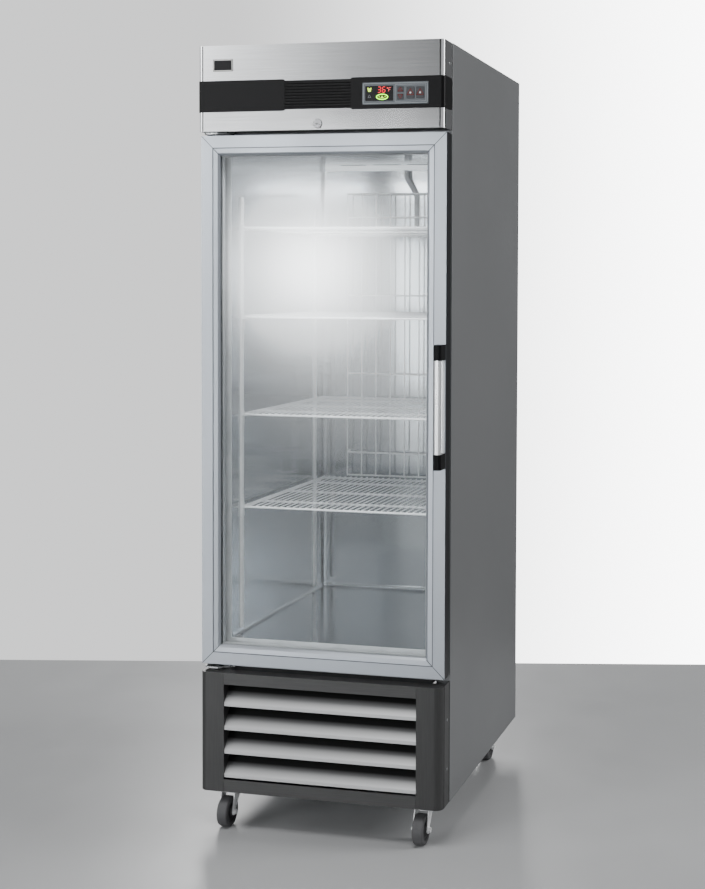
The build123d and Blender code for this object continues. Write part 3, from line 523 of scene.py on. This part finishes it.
# Green signs: a notched cup, and a ring round a triangle and two dots.
signs = bmesh.new()
cup_x, cup_z = in_window(0.15, 0.76)
CUP_MM = ((-5.5, 4.5), (-3.5, -5.5), (3.5, -5.5), (5.5, 4.5), (2.5, 4.5), (0, 2), (-2.5, 4.5))
add_plate(signs, [(cup_x + x * MM, cup_z + z * MM) for x, z in CUP_MM], PRINT, window_y)
ring_x, ring_z = in_window(0.6, 0.27)
add_outline(signs, oval((ring_x, ring_z), 30 * MM, 13 * MM), 2.2 * MM, PRINT, window_y)
add_plate(signs, triangle((ring_x, ring_z), 9 * MM, 6 * MM), PRINT, window_y)
for side in (-1, 1):
    dot_outline = oval((ring_x + side * 8 * MM, ring_z), 3 * MM, 3 * MM, 20)
    add_plate(signs, dot_outline, PRINT, window_y)
green_light = lit("green_light", (0.62, 0.95, 0.06), 1.0)
piece("display_signs", signs, green_light, "cabinet")

# A sign that isn't lit.
dim_sign = bmesh.new()
add_outline(dim_sign, triangle(in_window(0.15, 0.33), 8 * MM, 7 * MM), 1.1 * MM, PRINT, window_y)
faint = moulded("faint_sign", (0.12, 0.13, 0.14), 0.4)
piece("display_spare_sign", dim_sign, faint, "cabinet")

# The light line printed round the control panel and round its keypad.
bezel_low, bezel_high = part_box("control_bezel")
PANEL_PRINT = 0.12 * MM
printed = moulded("printed_line", (0.22, 0.25, 0.27), 0.4, 0.3, 0.01)
frame_line = bmesh.new()
panel_outline = inset(bezel_low, bezel_high, 3 * MM)
add_outline(frame_line, panel_outline, 1.3 * MM, PANEL_PRINT, bezel_low.y)
pad_low = (window_high.x + 5 * MM, bezel_low.z + 7 * MM)
pad_high = (bezel_high.x - 7 * MM, bezel_high.z - 7 * MM)
add_outline(frame_line, rectangle(pad_low, pad_high), 0.8 * MM, PANEL_PRINT, bezel_low.y)
piece("panel_lines", frame_line, printed, "cabinet")

# Signs on the keys.
key_red = moulded("key_red", (0.1, 0.012, 0.012), 0.4, 0.3, 0.01, gloss=0.2)
key_white = moulded("key_white", (0.7, 0.7, 0.68), 0.4, 0.3, 0.01)


def key_middle(node):
    """The middle of a key's front, as (x, z), and the front's y."""
    low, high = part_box(node)
    return ((low.x + high.x) / 2, (low.z + high.z) / 2), low.y


for node, way in (("key_up", 1), ("key_down", -1)):
    centre, y = key_middle(node)
    arrow = bmesh.new()
    add_outline(arrow, triangle(centre, 12 * MM, way * 9.5 * MM), 2.2 * MM, PRINT, y)
    piece(node + "_arrow", arrow, key_red, node)
for node in ("key_defrost", "key_alarm"):
    centre, y = key_middle(node)
    warning = bmesh.new()
    sign_centre = (centre[0], centre[1] + 2 * MM)
    add_outline(warning, triangle(sign_centre, 18 * MM, 15.5 * MM), 2.4 * MM, PRINT, y)
    piece(node + "_sign", warning, key_red, node)
    dot = bmesh.new()
    dot_centre = (centre[0], centre[1] - 0.5 * MM)
    add_plate(dot, oval(dot_centre, 4.4 * MM, 4.4 * MM, 20), PRINT, y)
    piece(node + "_dot", dot, key_white, node)

# ---- Badge: a blank plate with a light edge ----
badge_low, badge_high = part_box("badge_plate")
edge = bmesh.new()
add_outline(edge, inset(badge_low, badge_high, 1.9 * MM), 2.2 * MM, 0.15 * MM, badge_low.y)
piece("badge_edge", edge, key_white, "cabinet")

# ---- Door: dark joints where the frame members meet ----
joint_dark = moulded("joint_dark", (0.02, 0.022, 0.024), 0.6)
mitres = bmesh.new()
MITRE_START = 0.5 * MM
MITRE_END = 50 * MM
for x, x_way in ((stile_low.x, 1), (stile_high.x, -1)):
    for z, z_way in ((stile_low.z, 1), (stile_high.z, -1)):
        outer = (x + x_way * MITRE_START, z + z_way * MITRE_START)
        inner = (x + x_way * MITRE_END, z + z_way * MITRE_END)
        add_line(mitres, outer, inner, 1.6 * MM, JOINT_AND_SHADE_LINE, stile_low.y)
piece("door_mitres", mitres, joint_dark, "door")

# The shadow line of the groove round the frame's face.
groove = bmesh.new()
add_outline(groove, inset(stile_low, stile_high, 32.6 * MM), 2.2 * MM, 0.04 * MM, stile_low.y)
groove_grey = moulded("groove_grey", (0.07, 0.076, 0.084), 0.6)
piece("door_groove_line", groove, groove_grey, "door")

# ---- Painted shade lines: a dark line of painted reflection on the hood's face near each corner, and lines of painted shade down each side ----
painted_shade_lines = bmesh.new()
hood_low, hood_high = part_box("header_hood")
band_low, band_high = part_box("header_band")
for side in (-1, 1):
    x = side * (hood_high.x - 11 * MM)
    for z in ((hood_low.z + 1 * MM, band_low.z), (band_high.z, hood_high.z - 1 * MM)):
        add_line(painted_shade_lines, (x, z[0]), (x, z[1]), 3.2 * MM, JOINT_AND_SHADE_LINE, hood_low.y)
# Black for the lines of painted reflection and painted shade.
painted_shade_black = moulded("painted_shade_black", (0.003, 0.003, 0.0033), 0.6, gloss=0.15)
piece("hood_painted_shade_lines", painted_shade_lines, painted_shade_black, "cabinet")


def side_painted_shade_line(bm, x, y, z, width):
    """A thin upright strip lying on a side face at x, z being its two ends."""
    out = math.copysign(1, x)
    ring = rectangle((y - width / 2, z[0]), (y + width / 2, z[1]))
    outer = [bm.verts.new((x + out * JOINT_AND_SHADE_LINE, a, b)) for a, b in ring]
    inner = [bm.verts.new((x - out * LET_IN, a, b)) for a, b in ring]
    bm.faces.new(outer)
    bm.faces.new(inner[::-1])
    for i in range(4):
        after = (i + 1) % 4
        bm.faces.new((outer[i], inner[i], inner[after], outer[after]))


# Each sheet's lines stand at the end of its corner bend, painted dark reflection where the bend
# turns away, and just before its rear edge, painted shade in the gap to the side panel.
for node, bend in (("header_hood", 12 * MM), ("grille_cover", 23 * MM)):
    low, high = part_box(node)
    strips = bmesh.new()
    for side_x in (low.x, high.x):
        for y in (low.y + bend, high.y - 2.5 * MM):
            side_painted_shade_line(strips, side_x, y, (low.z + 1 * MM, high.z - 1 * MM), 4 * MM)
    piece(f"{node}_side_painted_shade_lines", strips, painted_shade_black, "cabinet")

# ---- Seal strip: closes the slot between the grille cover's top flange and the sill rail; its dark plastic stands in for the shade in the slot ----
sill_low, sill_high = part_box("sill_rail")
shade_seal_half = 300 * MM
shade_seal_front = cover_low.y + 38 * MM
shade_seal = bmesh.new()
shade_seal_bottom = cover_high.z - 2.4 * MM
shade_seal_top = cover_high.z + 0.3 * MM
profile = (
    (shade_seal_front, shade_seal_bottom),
    (shade_seal_front, cover_high.z - 1.6 * MM),
    (shade_seal_front + 3 * MM, shade_seal_top),
    (sill_low.y + 1 * MM, shade_seal_top),
    (sill_high.y, cover_high.z - 0.4 * MM),
    (sill_high.y, shade_seal_bottom),
)
ends = [[shade_seal.verts.new((x, y, z)) for y, z in profile] for x in (-shade_seal_half, shade_seal_half)]
shade_seal.faces.new(ends[0][::-1])
shade_seal.faces.new(ends[1])
for i, vert in enumerate(ends[0]):
    after = (i + 1) % len(profile)
    shade_seal.faces.new((vert, ends[0][after], ends[1][after], ends[1][i]))
piece("sill_shade_seal", shade_seal, materials["fan_plastic"], "cabinet")

# ---- Casters: black hub rings in the dished sides of the wheels ----
hub_black = moulded("hub_black", (0.012, 0.012, 0.013), 0.4)
DISH_FLOOR = 12 * MM
# How far each ring stands out from the dish, in millimetres, and its share of the wheel's radius.
HUB_RINGS = (
    (0, 0.715),
    (2.2, 0.715),
    (2.4, 0.66),
    (0.8, 0.6),
    (0.8, 0.48),
    (2.6, 0.4),
    (3.0, 0.335),
    (0, 0.335),
)
for node in sorted(nodes):
    if not node.startswith("caster_wheel_"):
        continue
    low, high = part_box(node)
    centre = (low + high) / 2
    radius = (high.z - low.z) / 2
    for side in (-1, 1):
        profile = [(side * (DISH_FLOOR + out * MM), radius * share) for out, share in HUB_RINGS]
        name = f"{node}_hub_{'outer' if side > 0 else 'inner'}"
        piece(name, revolved(name, profile, centre, (1, 0, 0)), hub_black, node)

# ---- Soft edges on the CAD pieces ----
SOFT_EDGES = {
    "door_stiles": 0.5,
    "door_rails": 0.5,
    "header_hood": 0.4,
    "grille_cover": 0.4,
    "badge_plate": 0.2,
    "hinge_brackets": 0.5,
    "lock_body": 0.2,
}
for node, width in SOFT_EDGES.items():
    bevel = nodes[node].modifiers.new("soft_edges", "BEVEL")
    bevel.width = width * MM
    bevel.segments = 2
    bevel.limit_method = "ANGLE"
    bevel.angle_limit = math.radians(40)
    bevel.harden_normals = False

# ---- Floor, light and camera ----
# The floor is turned square on to the view, and ends in a level line a little behind the object.
VIEW_YAW = 0.2224
FLOOR_REACH = 7.0
FLOOR_END = 1.36
floor_mesh = bmesh.new()
square_on = Matrix.Rotation(VIEW_YAW, 3, "Z")
floor_corners = rectangle((-FLOOR_REACH, -FLOOR_REACH), (FLOOR_REACH, FLOOR_END))
floor_mesh.faces.new([floor_mesh.verts.new(square_on @ Vector((x, y, 0))) for x, y in floor_corners])
floor = bpy.data.objects.new("floor", from_bmesh("floor", floor_mesh))
bpy.context.scene.collection.objects.link(floor)
floor_material, floor_tree, floor_main = shader("floor", (0.4, 0.405, 0.41), roughness=0.3)
floor_grain = noise(floor_tree, EVEN, 6.0)
floor_tree.links.new(spread(floor_tree, floor_grain, 0.3, 0.38), floor_main.inputs["Roughness"])
floor.data.materials.append(floor_material)

world = bpy.context.scene.world or bpy.data.worlds.new("studio")
bpy.context.scene.world = world
world.use_nodes = True
sky = world.node_tree
sky.nodes.clear()


def sky_math(operation, first, second):
    """A math node in the world's tree, each input a number or a node's output."""
    node = sky.nodes.new("ShaderNodeMath")
    node.operation = operation
    for socket, value in zip(node.inputs, (first, second)):
        if isinstance(value, (int, float)):
            socket.default_value = value
        else:
            sky.links.new(value, socket)
    return node.outputs["Value"]


def sky_glow(azimuth, elevation, width, strength):
    """A soft round light far off: degrees to the right of the front, degrees up and its width."""
    a, e = math.radians(azimuth), math.radians(elevation)
    toward = (math.sin(a) * math.cos(e), -math.cos(a) * math.cos(e), math.sin(e))
    where = sky.nodes.new("ShaderNodeTexCoord")
    dot = sky.nodes.new("ShaderNodeVectorMath")
    dot.operation = "DOT_PRODUCT"
    dot.inputs[1].default_value = toward
    sky.links.new(where.outputs["Generated"], dot.inputs[0])
    short = sky_math("SUBTRACT", dot.outputs["Value"], 1.0)
    fall = sky_math("EXPONENT", sky_math("DIVIDE", short, math.radians(width) ** 2), 0.0)
    return sky_math("MULTIPLY", fall, strength)


def sky_background(color, strength):
    """A background of one colour, its strength a node's output."""
    node = sky.nodes.new("ShaderNodeBackground")
    node.inputs["Color"].default_value = (*color, 1)
    sky.links.new(strength, node.inputs["Strength"])
    return node.outputs["Background"]


# Soft lights over a dim surround: degrees to the right, degrees up, width in degrees and strength.
GLOWS = (
    (-21.4, 0.6, 1.4, 85.0),
    (-36, 14, 6.5, 14.0),
    (-20, -1.5, 3.0, 5.0),
    (62, 8, 9, 1.2),
    (14, 12, 12, 1.1),
)
SURROUND = 0.18
studio = sky_glow(*GLOWS[0])
for glow in GLOWS[1:]:
    studio = sky_math("ADD", studio, sky_glow(*glow))
studio = sky_math("ADD", studio, SURROUND)
# The wall behind, grey at the left and white at the right, which only the camera sees.
wall_fade = spread(sky, coordinate(sky, "X", "Generated"), 1.15, 14.0, -0.42, 0.15)
wall_fade.node.interpolation_type = "SMOOTHSTEP"
both = sky.nodes.new("ShaderNodeMixShader")
sky.links.new(sky.nodes.new("ShaderNodeLightPath").outputs["Is Camera Ray"], both.inputs["Fac"])
sky.links.new(sky_background((0.97, 0.985, 1.0), studio), both.inputs[1])
sky.links.new(sky_background((0.99, 0.995, 1.0), wall_fade), both.inputs[2])
sky_out = sky.nodes.new("ShaderNodeOutputWorld")
sky.links.new(both.outputs["Shader"], sky_out.inputs["Surface"])


def softbox(name, place, target, size, power):
    """A rectangular studio light aimed at a point."""
    data = bpy.data.lights.new(name, "AREA")
    data.shape = "RECTANGLE"
    data.size, data.size_y = size
    data.energy = power
    lamp = bpy.data.objects.new(name, data)
    bpy.context.scene.collection.objects.link(lamp)
    lamp.location = place
    lamp.rotation_mode = "QUATERNION"
    lamp.rotation_quaternion = (Vector(target) - Vector(place)).to_track_quat("-Z", "Y")
    lamp.visible_camera = False


MIDDLE = (0, 0, 1.1)
softbox("key_light", (-3.8, -2.4, 3.0), MIDDLE, (1.2, 2.2), 50)
softbox("side_light", (4.4, 0.6, 3.0), MIDDLE, (1.6, 2.2), 150)
softbox("top_light", (0.0, -1.7, 4.2), (0, -0.3, 1.0), (2.2, 1.2), 80)
softbox("rear_light", (-1.5, 3.8, 2.6), MIDDLE, (2.0, 2.0), 110)
softbox("inside_light", (0.0, -0.2, 1.81), (0, 0.0, 1.0), (0.45, 0.06), 2)

# The view: how far the camera looks down and how far it leans, in radians.
LOOK_DOWN = 0.0352
CAMERA_LEAN = 0.0066
camera_data = bpy.data.cameras.new("camera")
camera = bpy.data.objects.new("camera", camera_data)
bpy.context.scene.collection.objects.link(camera)
camera.location = (1.3500, -3.8994, 1.4769)
camera.rotation_mode = "QUATERNION"
turn = Matrix.Rotation(VIEW_YAW, 4, "Z") @ Matrix.Rotation(math.radians(90) - LOOK_DOWN, 4, "X")
camera.rotation_quaternion = (turn @ Matrix.Rotation(CAMERA_LEAN, 4, "Z")).to_quaternion()
camera_data.lens = 57.47
camera_data.shift_x = -0.1968
camera_data.shift_y = -0.126
bpy.context.scene.camera = camera
